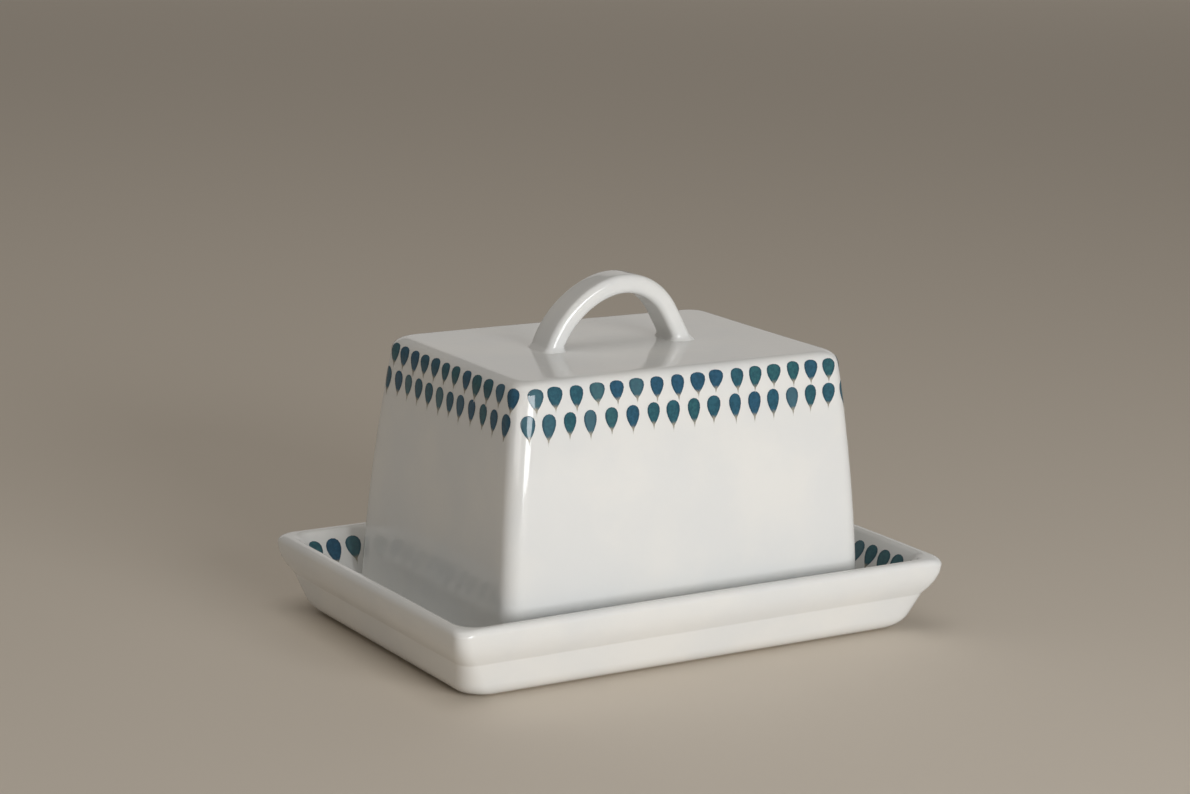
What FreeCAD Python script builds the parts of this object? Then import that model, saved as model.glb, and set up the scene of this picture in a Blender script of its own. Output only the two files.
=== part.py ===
import FreeCAD, Part
import os

import Sketcher
from FreeCAD import Placement, Rotation, Vector

# A lidded ceramic butter dish in three separately formed pieces, in millimetres:
# the dish that the butter stands on, the hollow cover, and the strap handle luted to the cover.
# +X runs along the dish, +Z is up, and the origin is the middle of the dish on the table.

DIMENSIONS = {
    # dish, outside
    "dish_length": 170.0,
    "dish_width": 116.4,
    "dish_height": 23.2,
    "crease_height": 11.8,
    "crease_inset": 3.8,
    "foot_inset": 7.4,
    "foot_edge_radius": 7.0,
    "crease_radius": 1.2,
    "rim_corner": 3.4,
    "crease_corner": 4.4,
    "foot_corner": 9.0,
    # dish, rim and well
    "rim_wall": 3.9,
    "rim_round": 1.85,
    "well_corner": 7.6,
    "floor_height": 8.0,
    "floor_inset": 11.5,
    "floor_corner": 10.0,
    "floor_round": 2.6,
    # dish, hollow under the foot ring
    "ring_inset": 18.5,
    "ring_depth": 2.0,
    "ring_corner": 8.0,
    "ring_round": 1.4,
    # cover
    "cover_length": 112.4,
    "cover_width": 78.6,
    "cover_top": 86.2,
    "cover_corner": 5.4,
    "cover_top_round": 4.3,
    "taper_straight": 11.47,
    "taper_curved": 4.66,
    "cover_wall": 4.6,
    "cover_roof": 5.0,
    "cavity_corner": 3.2,
    "cavity_round": 2.8,
    "cover_lip_round": 1.4,
    "seat_gap": 0.05,
    # handle
    "strap_thick": 5.6,
    "strap_wide": 11.4,
    "strap_corner": 1.3,
    "strap_top": 104.8,
    "strap_start": 84.0,
    "left_foot": -24.6,
    "left_lean": 71.0,
    "left_radius": 28.0,
    "crown_centre": 0.4,
    "crown_radius": 18.3,
    "right_lean": 119.5,
    "foot_flare": 1.5,
    "flare_height": 2.4,
}

doc = FreeCAD.newDocument("ButterDish")
dims = doc.addObject("Spreadsheet::Sheet", "Dims")
for row, (alias, value) in enumerate(DIMENSIONS.items(), start=1):
    dims.set("A%d" % row, alias.replace("_", " "))
    dims.set("B%d" % row, str(value))
    dims.setAlias("B%d" % row, alias)
doc.recompute()

FULL_TURN = 6.283185307179586
QUARTER = FULL_TURN / 4


def new_body(label):
    """An empty body whose label is the sub-part's name."""
    body = doc.addObject("PartDesign::Body", "Body_" + label)
    body.Label = label
    body.Placement = Placement()
    return body


def origin_plane(body, role):
    """One of the body's own base planes, such as XY_Plane."""
    return next(f for f in body.Origin.OriginFeatures if f.Role == role)


def new_sketch(body, name, role="XY_Plane", height=None):
    """A sketch on an origin plane, lifted to a height that is given as an expression."""
    sketch = body.newObject("Sketcher::SketchObject", name)
    sketch.AttachmentSupport = (origin_plane(body, role), [""])
    sketch.MapMode = "FlatFace"
    if height is not None:
        sketch.setExpression("AttachmentOffset.Base.z", height)
    return sketch


def bind(sketch, name, constraint, expression):
    """Adds a dimension to a sketch and ties it to the sheet."""
    index = sketch.addConstraint(constraint)
    sketch.renameConstraint(index, name)
    sketch.setExpression("Constraints." + name, expression)


def number(sketch, expression):
    """The value of an expression, as a plain number."""
    value = sketch.evalExpression(expression)
    return float(getattr(value, "Value", value))


def rounded_rectangle(body, name, height, length, width, radius):
    """A centred rectangle with round corners, at a height, all sizes given as expressions."""
    sketch = new_sketch(body, name, height=height)
    half_x = number(sketch, length) / 2
    half_y = number(sketch, width) / 2
    corner = number(sketch, radius)
    in_x = half_x - corner
    in_y = half_y - corner
    lines = [
        ((-in_x, -half_y), (in_x, -half_y)),
        ((half_x, -in_y), (half_x, in_y)),
        ((in_x, half_y), (-in_x, half_y)),
        ((-half_x, in_y), (-half_x, -in_y)),
    ]
    for start, end in lines:
        sketch.addGeometry(Part.LineSegment(Vector(*start), Vector(*end)), False)
    for index, (x, y) in enumerate([(in_x, -in_y), (in_x, in_y), (-in_x, in_y), (-in_x, -in_y)]):
        circle = Part.Circle(Vector(x, y), Vector(0, 0, 1), corner)
        begin = (index - 1) * QUARTER
        sketch.addGeometry(Part.ArcOfCircle(circle, begin, begin + QUARTER), False)
    for side in range(4):
        sketch.addConstraint(Sketcher.Constraint("Tangent", side, 2, 4 + side, 1))
        sketch.addConstraint(Sketcher.Constraint("Tangent", 4 + side, 2, (side + 1) % 4, 1))
        sketch.addConstraint(Sketcher.Constraint("Vertical" if side % 2 else "Horizontal", side))
    for arc in (5, 6, 7):
        sketch.addConstraint(Sketcher.Constraint("Equal", 4, arc))
    sketch.addConstraint(Sketcher.Constraint("Symmetric", 4, 3, 6, 3, -1, 1))
    bind(sketch, "length", Sketcher.Constraint("DistanceX", 3, 1, 1, 1, 2 * half_x), length)
    bind(sketch, "width", Sketcher.Constraint("DistanceY", 0, 1, 2, 1, 2 * half_y), width)
    bind(sketch, "radius", Sketcher.Constraint("Radius", 4, corner), radius)
    return sketch


def loft(body, kind, name, sections, ruled=False):
    """A loft through the sections; kind is AdditiveLoft or SubtractiveLoft."""
    feature = body.newObject("PartDesign::" + kind, name)
    feature.Profile = sections[0]
    feature.Sections = sections[1:]
    feature.Ruled = ruled
    doc.recompute()
    return feature


def level_edges(feature, height, outside=0.0):
    """Names of the edges at one height that reach beyond a share of the dish's half-size."""
    found = []
    for index, edge in enumerate(feature.Shape.Edges, start=1):
        box = edge.BoundBox
        level = abs(box.ZMin - height) < 0.01 and abs(box.ZMax - height) < 0.01
        reach = max(abs(box.XMin), abs(box.XMax)) / (float(dims.dish_length) / 2)
        across = max(abs(box.YMin), abs(box.YMax)) / (float(dims.dish_width) / 2)
        if level and max(reach, across) > outside:
            found.append("Edge%d" % index)
    return found


def fillet(body, name, base, edges, radius):
    """Rounds the named edges of the last feature by a radius from the sheet."""
    feature = body.newObject("PartDesign::Fillet", name)
    feature.Base = (base, edges)
    feature.setExpression("Radius", radius)
    doc.recompute()
    return feature


def pocket(body, name, sketch, depth, upwards):
    """Cuts a sketch's area out of the body, and checks that it has cut something."""
    before = body.Shape.Volume
    feature = body.newObject("PartDesign::Pocket", name)
    feature.Profile = sketch
    feature.setExpression("Length", depth)
    feature.Reversed = upwards
    doc.recompute()
    if not feature.Shape.Volume < before - 1:
        raise RuntimeError(name + " cuts nothing")
    return feature


def dish_section(body, name, height, inset, corner):
    """A level section of the dish, a distance in from the rim's outermost line on every side."""
    length = "Dims.dish_length - 2 * (%s)" % inset
    width = "Dims.dish_width - 2 * (%s)" % inset
    return rounded_rectangle(body, name, height, length, width, corner)


def make_dish():
    """The dish: a low tray whose rim flares out above a crease, on a ring foot."""
    body = new_body("dish")
    foot = dish_section(body, "FootSection", "0", "Dims.foot_inset", "Dims.foot_corner")
    crease = dish_section(
        body, "CreaseSection", "Dims.crease_height", "Dims.crease_inset", "Dims.crease_corner"
    )
    feature = loft(body, "AdditiveLoft", "LowerBand", [foot, crease], ruled=True)

    # The rim curves outwards from the crease: its inset falls off steadily up to the lip.
    flare = []
    for step in (0, 1, 2, 3):
        share = step / 3
        flare.append(
            dish_section(
                body,
                "FlareSection%d" % step,
                "Dims.crease_height + (Dims.dish_height - Dims.crease_height) * %.4f" % share,
                "Dims.crease_inset * %.4f" % ((1 - share) ** 2.4),
                "Dims.crease_corner + (Dims.rim_corner - Dims.crease_corner) * %.4f" % share,
            )
        )
    feature = loft(body, "AdditiveLoft", "RimBand", flare)

    mouth = dish_section(
        body, "MouthSection", "Dims.dish_height", "Dims.rim_wall", "Dims.well_corner"
    )
    floor = dish_section(
        body, "FloorSection", "Dims.floor_height", "Dims.floor_inset", "Dims.floor_corner"
    )
    feature = loft(body, "SubtractiveLoft", "Well", [mouth, floor], ruled=True)

    ring = dish_section(body, "RingSection", "0", "Dims.ring_inset", "Dims.ring_corner")
    feature = pocket(body, "RingHollow", ring, "Dims.ring_depth", upwards=True)

    edges = level_edges(feature, 0.0, outside=0.80)
    feature = fillet(body, "FootRound", feature, edges, "Dims.foot_edge_radius")
    edges = level_edges(feature, float(dims.ring_depth))
    feature = fillet(body, "RingRound", feature, edges, "Dims.ring_round")
    edges = level_edges(feature, float(dims.crease_height))
    feature = fillet(body, "CreaseRound", feature, edges, "Dims.crease_radius")
    edges = level_edges(feature, float(dims.floor_height))
    feature = fillet(body, "FloorRound", feature, edges, "Dims.floor_round")
    edges = level_edges(feature, float(dims.dish_height))
    return fillet(body, "RimRound", feature, edges, "Dims.rim_round")


def cover_section(body, name, share, wall, corner):
    """A level section of the cover, share of the way from its top plane down to the table.
    The walls swell outwards on the way down, more at first and less lower down."""
    swell = "(Dims.taper_straight * %.4f - Dims.taper_curved * %.6f)" % (share, share**2)
    return rounded_rectangle(
        body,
        name,
        "Dims.cover_top * %.6f" % (1 - share),
        "Dims.cover_length + 2 * %s - 2 * (%s)" % (swell, wall),
        "Dims.cover_width + 2 * %s - 2 * (%s)" % (swell, wall),
        corner,
    )


def make_cover():
    """The cover: a tall hollow box with tapering walls and a flat lip that stands in the dish."""
    body = new_body("lid_cover")
    lip_height = float(dims.floor_height) + float(dims.seat_gap)
    lip_share = 1 - lip_height / float(dims.cover_top)
    roof_share = float(dims.cover_roof) / float(dims.cover_top)
    steps = 4
    outside = []
    inside = []
    for step in range(steps + 1):
        share = lip_share * step / steps
        outside.append(cover_section(body, "Outside%d" % step, share, "0", "Dims.cover_corner"))
    feature = loft(body, "AdditiveLoft", "Walls", outside)
    edges = level_edges(feature, float(dims.cover_top))
    feature = fillet(body, "TopRound", feature, edges, "Dims.cover_top_round")
    for step in range(steps + 1):
        share = roof_share + (lip_share - roof_share) * step / steps
        inside.append(
            cover_section(body, "Inside%d" % step, share, "Dims.cover_wall", "Dims.cavity_corner")
        )
    feature = loft(body, "SubtractiveLoft", "Cavity", inside)
    roof_underside = float(dims.cover_top) - float(dims.cover_roof)
    edges = level_edges(feature, roof_underside)
    feature = fillet(body, "CavityRound", feature, edges, "Dims.cavity_round")
    edges = level_edges(feature, lip_height)
    return fillet(body, "LipRound", feature, edges, "Dims.cover_lip_round")


def strap_path(body):
    """The handle's centre line: a leaning left leg, a wide arc, a tighter crown, a straight right leg."""
    sketch = new_sketch(body, "StrapPath", "XZ_Plane")
    sketch.addGeometry(Part.LineSegment(Vector(-24.6, 84), Vector(-23.8, 86.2)), False)
    sketch.addGeometry(
        Part.Arc(Vector(-3.9, 104.3), Vector(-16.9, 97.2), Vector(-23.8, 86.2)), False
    )
    sketch.addGeometry(Part.Arc(Vector(16.3, 95.5), Vector(8, 103.2), Vector(-3.9, 104.3)), False)
    sketch.addGeometry(Part.LineSegment(Vector(16.3, 95.5), Vector(22.8, 84)), False)
    leg_arc_end, leg_arc_start = end_points(sketch, 1)
    crown_end, crown_start = end_points(sketch, 2)
    sketch.addConstraint(Sketcher.Constraint("Tangent", 0, 2, 1, leg_arc_end))
    sketch.addConstraint(Sketcher.Constraint("Tangent", 1, leg_arc_start, 2, crown_end))
    sketch.addConstraint(Sketcher.Constraint("Tangent", 2, crown_start, 3, 1))
    bind(sketch, "left_x", Sketcher.Constraint("DistanceX", -1, 1, 0, 1, -24.6), "Dims.left_foot")
    bind(sketch, "left_z", Sketcher.Constraint("DistanceY", -1, 1, 0, 1, 84), "Dims.strap_start")
    bind(sketch, "right_z", Sketcher.Constraint("DistanceY", -1, 1, 3, 2, 84), "Dims.strap_start")
    bind(
        sketch,
        "left_angle",
        Sketcher.Constraint("Angle", 0, FULL_TURN * 71 / 360),
        "Dims.left_lean * 1 deg",
    )
    bind(
        sketch,
        "right_angle",
        Sketcher.Constraint("Angle", 3, -FULL_TURN * 60.5 / 360),
        "(Dims.right_lean - 180) * 1 deg",
    )
    bind(sketch, "leg_radius", Sketcher.Constraint("Radius", 1, 28), "Dims.left_radius")
    bind(sketch, "crown_radius", Sketcher.Constraint("Radius", 2, 18.3), "Dims.crown_radius")
    bind(
        sketch,
        "crown_x",
        Sketcher.Constraint("DistanceX", -1, 1, 2, 3, 0.4),
        "Dims.crown_centre",
    )
    bind(
        sketch,
        "crown_z",
        Sketcher.Constraint("DistanceY", -1, 1, 2, 3, 86.5),
        "Dims.strap_top - Dims.crown_radius",
    )
    return sketch


def end_points(sketch, arc):
    """(left end, right end) of an arc, as the sketcher's point numbers 1 and 2."""
    start = sketch.getPoint(arc, 1)
    end = sketch.getPoint(arc, 2)
    return (1, 2) if start.x < end.x else (2, 1)


def strap_section(body, name, centre_x, height, flare="0", tilt="0"):
    """The strap's flat section, over the X axis, tipped about its own crosswise axis."""
    sketch = rounded_rectangle(
        body,
        name,
        height,
        "Dims.strap_thick + 2 * (%s)" % flare,
        "Dims.strap_wide + 2 * (%s)" % flare,
        "Dims.strap_corner + %s" % flare,
    )
    sketch.AttachmentOffset = Placement(Vector(), Rotation(Vector(0, 1, 0), 1))
    sketch.setExpression("AttachmentOffset.Base.x", centre_x)
    sketch.setExpression("AttachmentOffset.Rotation.Angle", tilt)
    return sketch


def foot(body, name, path, leg):
    """A low flared foot where a leg of the strap meets the cover's top."""
    top = float(dims.cover_top)
    line = path.Geometry[leg]
    low, high = sorted((line.StartPoint, line.EndPoint), key=lambda p: p.y)
    slope = (high.x - low.x) / (high.y - low.y)
    foot_x = low.x + slope * (top - low.y)
    neck_x = foot_x + slope * float(dims.flare_height)
    sole = strap_section(
        body, name + "Sole", "%.4f" % foot_x, "Dims.cover_top", flare="Dims.foot_flare"
    )
    neck = strap_section(
        body, name + "Neck", "%.4f" % neck_x, "Dims.cover_top + Dims.flare_height"
    )
    return loft(body, "AdditiveLoft", name, [sole, neck], ruled=True)


def make_handle():
    """The handle: a flat strap bent into an arch, cut level where it sits on the cover."""
    body = new_body("lid_handle")
    path = strap_path(body)
    doc.recompute()
    section = strap_section(
        body,
        "StrapSection",
        "Dims.left_foot",
        "Dims.strap_start",
        tilt="(90 - Dims.left_lean) * 1 deg",
    )
    doc.recompute()
    strap = body.newObject("PartDesign::AdditivePipe", "Strap")
    strap.Profile = section
    strap.Spine = (path, [])
    doc.recompute()
    block = rounded_rectangle(
        body,
        "TrimSection",
        "Dims.cover_top",
        "Dims.cover_length",
        "Dims.cover_width",
        "Dims.cover_corner",
    )
    pocket(body, "LevelFeet", block, "4 * Dims.strap_thick", upwards=False)
    foot(body, "LeftFoot", path, 0)
    return foot(body, "RightFoot", path, 3)


def check_document():
    """Stops the script if any object of the document has failed."""
    for item in doc.Objects:
        if "Invalid" in item.State or "Error" in item.State:
            raise RuntimeError("%s failed: %s" % (item.Name, item.State))


make_dish()
make_cover()
make_handle()
doc.recompute()
check_document()

sub_parts = [item for item in doc.Objects if item.TypeId == "PartDesign::Body"]
for item in sub_parts:
    if item.Shape.isNull() or not item.Shape.isValid():
        raise RuntimeError(item.Label + " has no valid shape")

os.makedirs("parts", exist_ok=True)
for item in sub_parts:
    item.Shape.exportStep("parts/%s.step" % item.Label)
    box = item.Shape.BoundBox
    print(
        "%-12s x %.2f..%.2f  y %.2f..%.2f  z %.2f..%.2f  %.1f cm3  %d solid"
        % (
            item.Label,
            box.XMin,
            box.XMax,
            box.YMin,
            box.YMax,
            box.ZMin,
            box.ZMax,
            item.Shape.Volume / 1000,
            len(item.Shape.Solids),
        )
    )
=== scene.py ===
# %% [markdown]
# # A painted butter dish
# The real object is two loose pieces of fired stoneware: a shallow dish with a flared rim, and a
# tall cover that stands in it. A strap handle was stuck on the cover with slip before firing.
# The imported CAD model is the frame. It holds every size and every motion, so this script reads its
# sizes from there and only makes the looks: soft, slightly uneven walls, glaze, and painted drops.

# %% Load the frame
import math

import bmesh
import bpy
from mathutils import Matrix, Vector, noise


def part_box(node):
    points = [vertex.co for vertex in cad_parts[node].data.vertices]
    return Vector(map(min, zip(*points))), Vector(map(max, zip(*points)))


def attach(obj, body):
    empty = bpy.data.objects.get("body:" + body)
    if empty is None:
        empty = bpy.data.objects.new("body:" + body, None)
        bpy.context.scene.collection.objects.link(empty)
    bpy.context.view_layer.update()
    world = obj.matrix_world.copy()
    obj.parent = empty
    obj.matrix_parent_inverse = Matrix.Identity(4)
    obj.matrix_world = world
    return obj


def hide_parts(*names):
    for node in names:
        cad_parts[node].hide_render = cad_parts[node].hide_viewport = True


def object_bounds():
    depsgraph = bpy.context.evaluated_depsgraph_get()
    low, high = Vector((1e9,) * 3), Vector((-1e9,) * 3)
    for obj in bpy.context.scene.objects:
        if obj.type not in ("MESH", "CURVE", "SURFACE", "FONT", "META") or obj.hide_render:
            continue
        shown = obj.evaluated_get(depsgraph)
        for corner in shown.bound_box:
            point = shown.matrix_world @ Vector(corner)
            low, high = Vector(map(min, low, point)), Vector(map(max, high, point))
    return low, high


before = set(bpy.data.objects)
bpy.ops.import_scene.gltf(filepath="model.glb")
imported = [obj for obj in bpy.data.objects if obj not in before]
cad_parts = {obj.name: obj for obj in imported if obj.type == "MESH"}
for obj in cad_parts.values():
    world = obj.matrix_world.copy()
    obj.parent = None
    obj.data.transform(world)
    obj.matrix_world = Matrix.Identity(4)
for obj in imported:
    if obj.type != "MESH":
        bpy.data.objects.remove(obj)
cad_low, cad_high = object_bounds()
dish_low, dish_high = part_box("dish")
cover_low, cover_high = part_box("lid_cover")
strap_low, strap_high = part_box("lid_handle")
MM = 0.001
print("CAD box, mm:", [round(v / MM, 1) for v in (cad_high - cad_low)])

# %% [markdown]
# ## The camera
# A product photographer stands well back with a long lens, so that upright edges stay nearly
# parallel. The camera is placed the same way: a direction round the object, a height above the
# table, a distance, and a slight roll. It aims a little above the middle of the object's height.

# %% Camera
LENS = 88.0
CAMERA_AZIMUTH = math.radians(-32.25)
CAMERA_ELEVATION = math.radians(12.62)
CAMERA_ROLL = math.radians(1.58)
CAMERA_DISTANCE = 0.8906
AIM_SIDEWAYS = -3.6 * MM
AIM_UP = 0.63 * cad_high.z


def direction(azimuth, elevation):
    """The unit vector from the object towards a place: azimuth 0 is in front, on the -Y side."""
    flat = math.cos(elevation)
    return Vector((math.sin(azimuth) * flat, -math.cos(azimuth) * flat, math.sin(elevation)))


def place_camera():
    """The camera, looking along its own -Z axis, with its right and up axes rolled a little."""
    back = direction(CAMERA_AZIMUTH, CAMERA_ELEVATION)
    level = Vector((math.cos(CAMERA_AZIMUTH), math.sin(CAMERA_AZIMUTH), 0))
    upright = back.cross(level)
    right = level * math.cos(CAMERA_ROLL) + upright * math.sin(CAMERA_ROLL)
    up = upright * math.cos(CAMERA_ROLL) - level * math.sin(CAMERA_ROLL)
    camera = bpy.data.objects.new("Camera", bpy.data.cameras.new("Camera"))
    bpy.context.scene.collection.objects.link(camera)
    camera.data.lens = LENS
    camera.data.sensor_width = 36.0
    place = back * CAMERA_DISTANCE + right * AIM_SIDEWAYS + up * AIM_UP
    turn = Matrix((right, up, back)).transposed().to_4x4()
    camera.matrix_world = Matrix.Translation(place) @ turn
    bpy.context.scene.camera = camera
    return camera


camera = place_camera()
print("camera at, mm:", [round(v / MM) for v in camera.matrix_world.translation])

# %% [markdown]
# ## Rings: how a moulded box is drawn
# Both fired pieces have rectangular sections with round corners, whose size and corner radius
# change with height. So each piece is drawn as a stack of level rings, one for every point of the
# wall's outline, and neighbouring rings are joined with quads. Extruding and bevelling a box would
# also work, but the corner radius could not then change on the way up, as it does on the real ware.

# %% Ring and skin helpers
CORNER_STEPS = 10
LONG_STEPS = 40
SHORT_STEPS = 28
CORNERS = ((1, -1), (1, 1), (-1, 1), (-1, -1))


def ring(half_x, half_y, corner, height):
    """One level ring, anticlockwise seen from above, with the same number of points every time."""
    points = []
    for turn, (side_x, side_y) in enumerate(CORNERS):
        for step in range(CORNER_STEPS + 1):
            angle = (turn - 1 + step / CORNER_STEPS) * math.pi / 2
            x = side_x * (half_x - corner) + corner * math.cos(angle)
            y = side_y * (half_y - corner) + corner * math.sin(angle)
            points.append(Vector((x, y, height)))
        steps = LONG_STEPS if turn % 2 else SHORT_STEPS
        next_x, next_y = CORNERS[(turn + 1) % 4]
        angle = turn * math.pi / 2
        start = points[-1]
        end_x = next_x * (half_x - corner) + corner * math.cos(angle)
        end_y = next_y * (half_y - corner) + corner * math.sin(angle)
        end = Vector((end_x, end_y, height))
        points += [start.lerp(end, step / steps) for step in range(1, steps)]
    return points


def skin(name, rings):
    """A closed mesh: quads between neighbouring rings, and a fan of triangles over each end."""
    mesh = bmesh.new()
    rows = [[mesh.verts.new(p) for p in points] for points in rings]
    count = len(rows[0])
    for low, high in zip(rows, rows[1:]):
        for i in range(count):
            j = (i + 1) % count
            mesh.faces.new((low[i], low[j], high[j], high[i]))
    for row in (rows[0], rows[-1]):
        middle = mesh.verts.new(sum((v.co for v in row), Vector()) / count)
        for i in range(count):
            mesh.faces.new((row[i], row[(i + 1) % count], middle))
    bmesh.ops.remove_doubles(mesh, verts=mesh.verts, dist=1e-7)
    bmesh.ops.recalc_face_normals(mesh, faces=mesh.faces)
    if mesh.calc_volume(signed=True) < 0:
        bmesh.ops.reverse_faces(mesh, faces=mesh.faces)
    data = bpy.data.meshes.new(name)
    mesh.to_mesh(data)
    mesh.free()
    data.shade_smooth()
    piece = bpy.data.objects.new(name, data)
    bpy.context.scene.collection.objects.link(piece)
    return piece


print("points in a ring:", len(ring(1, 1, 0.1, 0)))

# %% [markdown]
# ## Outlines with rounded corners
# A potter's profile gauge has only a few corners, each with its own roundness. The outline is
# written that way: a point is (inset from the widest line, height, plan corner radius, roundness),
# and this helper swaps every corner for an arc and adds points along the straight stretches.

# %% Outline helper
ARC_STEPS = 9
LONGEST_STRETCH = 2.5 * MM


def rounded_outline(corners):
    """Points (inset, height, plan radius) along an outline whose corners are rounded by arcs."""
    path = [Vector(corners[0][:3])]
    for before, here, after in zip(corners, corners[1:], corners[2:]):
        a, b, c = Vector(before[:3]), Vector(here[:3]), Vector(after[:3])
        arrive = (b - a).to_2d().normalized()
        leave = (c - b).to_2d().normalized()
        turn = arrive.angle(leave, 0.0)
        radius = here[3] if len(here) > 3 else 0.0
        if radius <= 0 or turn < 1e-3:
            path.append(b)
            continue
        trim = radius * math.tan(turn / 2)
        start = b.lerp(a, trim / (b - a).to_2d().length)
        end = b.lerp(c, trim / (c - b).to_2d().length)
        side = 1 if arrive.cross(leave) > 0 else -1
        inward = Vector((-arrive.y, arrive.x)) * side
        centre = start.to_2d() + inward * radius
        for step in range(ARC_STEPS + 1):
            share = step / ARC_STEPS
            spoke = -inward * radius
            angle = side * turn * share
            x = spoke.x * math.cos(angle) - spoke.y * math.sin(angle)
            y = spoke.x * math.sin(angle) + spoke.y * math.cos(angle)
            path.append(Vector((centre.x + x, centre.y + y, start.lerp(end, share).z)))
    path.append(Vector(corners[-1][:3]))
    fine = [path[0]]
    for a, b in zip(path, path[1:]):
        pieces = max(1, math.ceil((b - a).to_2d().length / LONGEST_STRETCH))
        fine += [a.lerp(b, step / pieces) for step in range(1, pieces + 1)]
    return fine


def shrinking(half_x, half_y, corner, height, shares):
    """Rings that shrink towards the middle of a flat floor or roof."""
    return [ring(half_x * s, half_y * s, corner * s, height) for s in shares]


TOWARDS_MIDDLE = [0.94, 0.85, 0.74, 0.62, 0.5, 0.38, 0.26, 0.14, 0.05]

# %% [markdown]
# ## Made by hand
# Wet clay slumps and dries a little unevenly, so no wall of the real ware is a true plane and its
# reflections bend. Noise with a long wave moves each point by up to a third of a millimetre.
# The two surfaces of a wall lie close together, so they move together and the wall keeps its
# thickness. Where the cover stands on the dish the movement fades out, and the two still meet.

# %% Uneven clay
CLAY_SEED = 12
FULL_MOVEMENT_RISE = 12 * MM
SEED_STEP = Vector((7.3, 1.9, 4.1))
LEAST_MOVEMENT = 0.35
UPRIGHT_SHARE = 0.6
# Without a seed of its own, this noise starts somewhere else each time Blender runs.
noise.seed_set(CLAY_SEED)


def uneven(piece, seed, amount, wave, still_below):
    """Moves a piece's points by smooth noise, fading out below a height."""
    for vertex in piece.data.vertices:
        rise = min(max((vertex.co.z - still_below) / FULL_MOVEMENT_RISE, 0.0), 1.0)
        push = noise.noise_vector(vertex.co / wave + SEED_STEP * seed)
        push.z *= rise * UPRIGHT_SHARE
        vertex.co += push * amount * (LEAST_MOVEMENT + (1 - LEAST_MOVEMENT) * rise)
    piece.data.update()


# %% [markdown]
# ## The dish
# The dish is a pressed tray: a hollow under a ring foot, a lower band, a crease, and a rim that
# curves outwards to a round lip. Inside, a slope runs down to the flat floor where the cover
# stands. Its widest line is the CAD node's own box, and everything else is a distance in from it.

# %% Dish mesh
RIM_HALF_X = dish_high.x
RIM_HALF_Y = dish_high.y
RIM_TOP = dish_high.z
CREASE_HEIGHT = 11.8 * MM
CREASE_INSET = 3.8 * MM
FLOOR_HEIGHT = cover_low.z - 0.05 * MM
FLOOR_INSET = 11.5 * MM
FLOOR_CORNER = 10 * MM
RIM_WALL = 3.9 * MM
LIP_ROUND = 1.9 * MM
LIP_CORNER = 3.6 * MM
CREASE_CORNER = 4.8 * MM
FOOT_INSET = 7.4 * MM
FOOT_CORNER = 8 * MM
RING_INSET = 18.5 * MM
RING_DEPTH = 2.0 * MM
HOLLOW_INSET = RING_INSET + 4 * MM
HOLLOW_CORNER = 7 * MM
INSIDE_INSET = FLOOR_INSET + 5 * MM
FLARE_SHARES = (0.2, 0.4, 0.6)
FLARE_POWER = 2.4


def dish_outline():
    """The dish's wall from the hollow underneath, round the lip, to the floor inside."""
    outline = [
        (HOLLOW_INSET, RING_DEPTH, HOLLOW_CORNER),
        (RING_INSET, RING_DEPTH, FOOT_CORNER, 1.4 * MM),
        (RING_INSET - 0.9 * MM, 0.0, FOOT_CORNER, 0.8 * MM),
        (FOOT_INSET, 0.0, FOOT_CORNER, 7.0 * MM),
        (CREASE_INSET, CREASE_HEIGHT, CREASE_CORNER, 2.0 * MM),
    ]
    for share in FLARE_SHARES:
        inset = CREASE_INSET * (1 - share) ** FLARE_POWER
        height = CREASE_HEIGHT + (RIM_TOP - CREASE_HEIGHT) * share
        corner = CREASE_CORNER + (LIP_CORNER - CREASE_CORNER) * share
        outline.append((inset, height, corner))
    outline += [
        (0.0, RIM_TOP, LIP_CORNER, LIP_ROUND),
        (RIM_WALL, RIM_TOP, 2 * LIP_CORNER, LIP_ROUND),
        (FLOOR_INSET, FLOOR_HEIGHT, FLOOR_CORNER, 2.6 * MM),
        (INSIDE_INSET, FLOOR_HEIGHT, FLOOR_CORNER),
    ]
    return rounded_outline(outline)


def make_dish():
    """The dish, as rings from the middle of the underside, round the rim, to the middle inside."""
    points = dish_outline()
    wall = [ring(RIM_HALF_X - p.x, RIM_HALF_Y - p.x, p.z, p.y) for p in points]
    first, last = points[0], points[-1]
    below = shrinking(
        RIM_HALF_X - first.x, RIM_HALF_Y - first.x, first.z, first.y, TOWARDS_MIDDLE[::-1]
    )
    above = shrinking(RIM_HALF_X - last.x, RIM_HALF_Y - last.x, last.z, last.y, TOWARDS_MIDDLE)
    piece = skin("dish_glazed", below + wall + above)
    uneven(piece, seed=3, amount=0.30 * MM, wave=0.055, still_below=FLOOR_HEIGHT + 2 * MM)
    return piece


dish = make_dish()
print("dish faces:", len(dish.data.polygons))

# %% [markdown]
# ## The cover
# The cover's walls are not flat: they taper more near the top than near the lip, so a gentle curve
# in each wall catches the light. One formula gives that swell for the outside and the inside.

# %% Cover mesh
COVER_TOP = cover_high.z
LIP = cover_low.z
COVER_WALL = 4.6 * MM
COVER_ROOF = 5.0 * MM
COVER_CORNER = 5.4 * MM
INSIDE_CORNER = 3.4 * MM
LIP_EDGE_ROUND = 1.4 * MM
CEILING_ROUND = 2.8 * MM
TOP_EDGE_ROUND = 4.4 * MM


def swell(height):
    """How far the wall stands out from the cover's top line, at a height above the table."""
    share = (COVER_TOP - height) / COVER_TOP
    return (11.47 * share - 4.66 * share**2) * MM


TOP_HALF_X = cover_high.x - swell(LIP + LIP_EDGE_ROUND)
TOP_HALF_Y = cover_high.y - swell(LIP + LIP_EDGE_ROUND)


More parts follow.
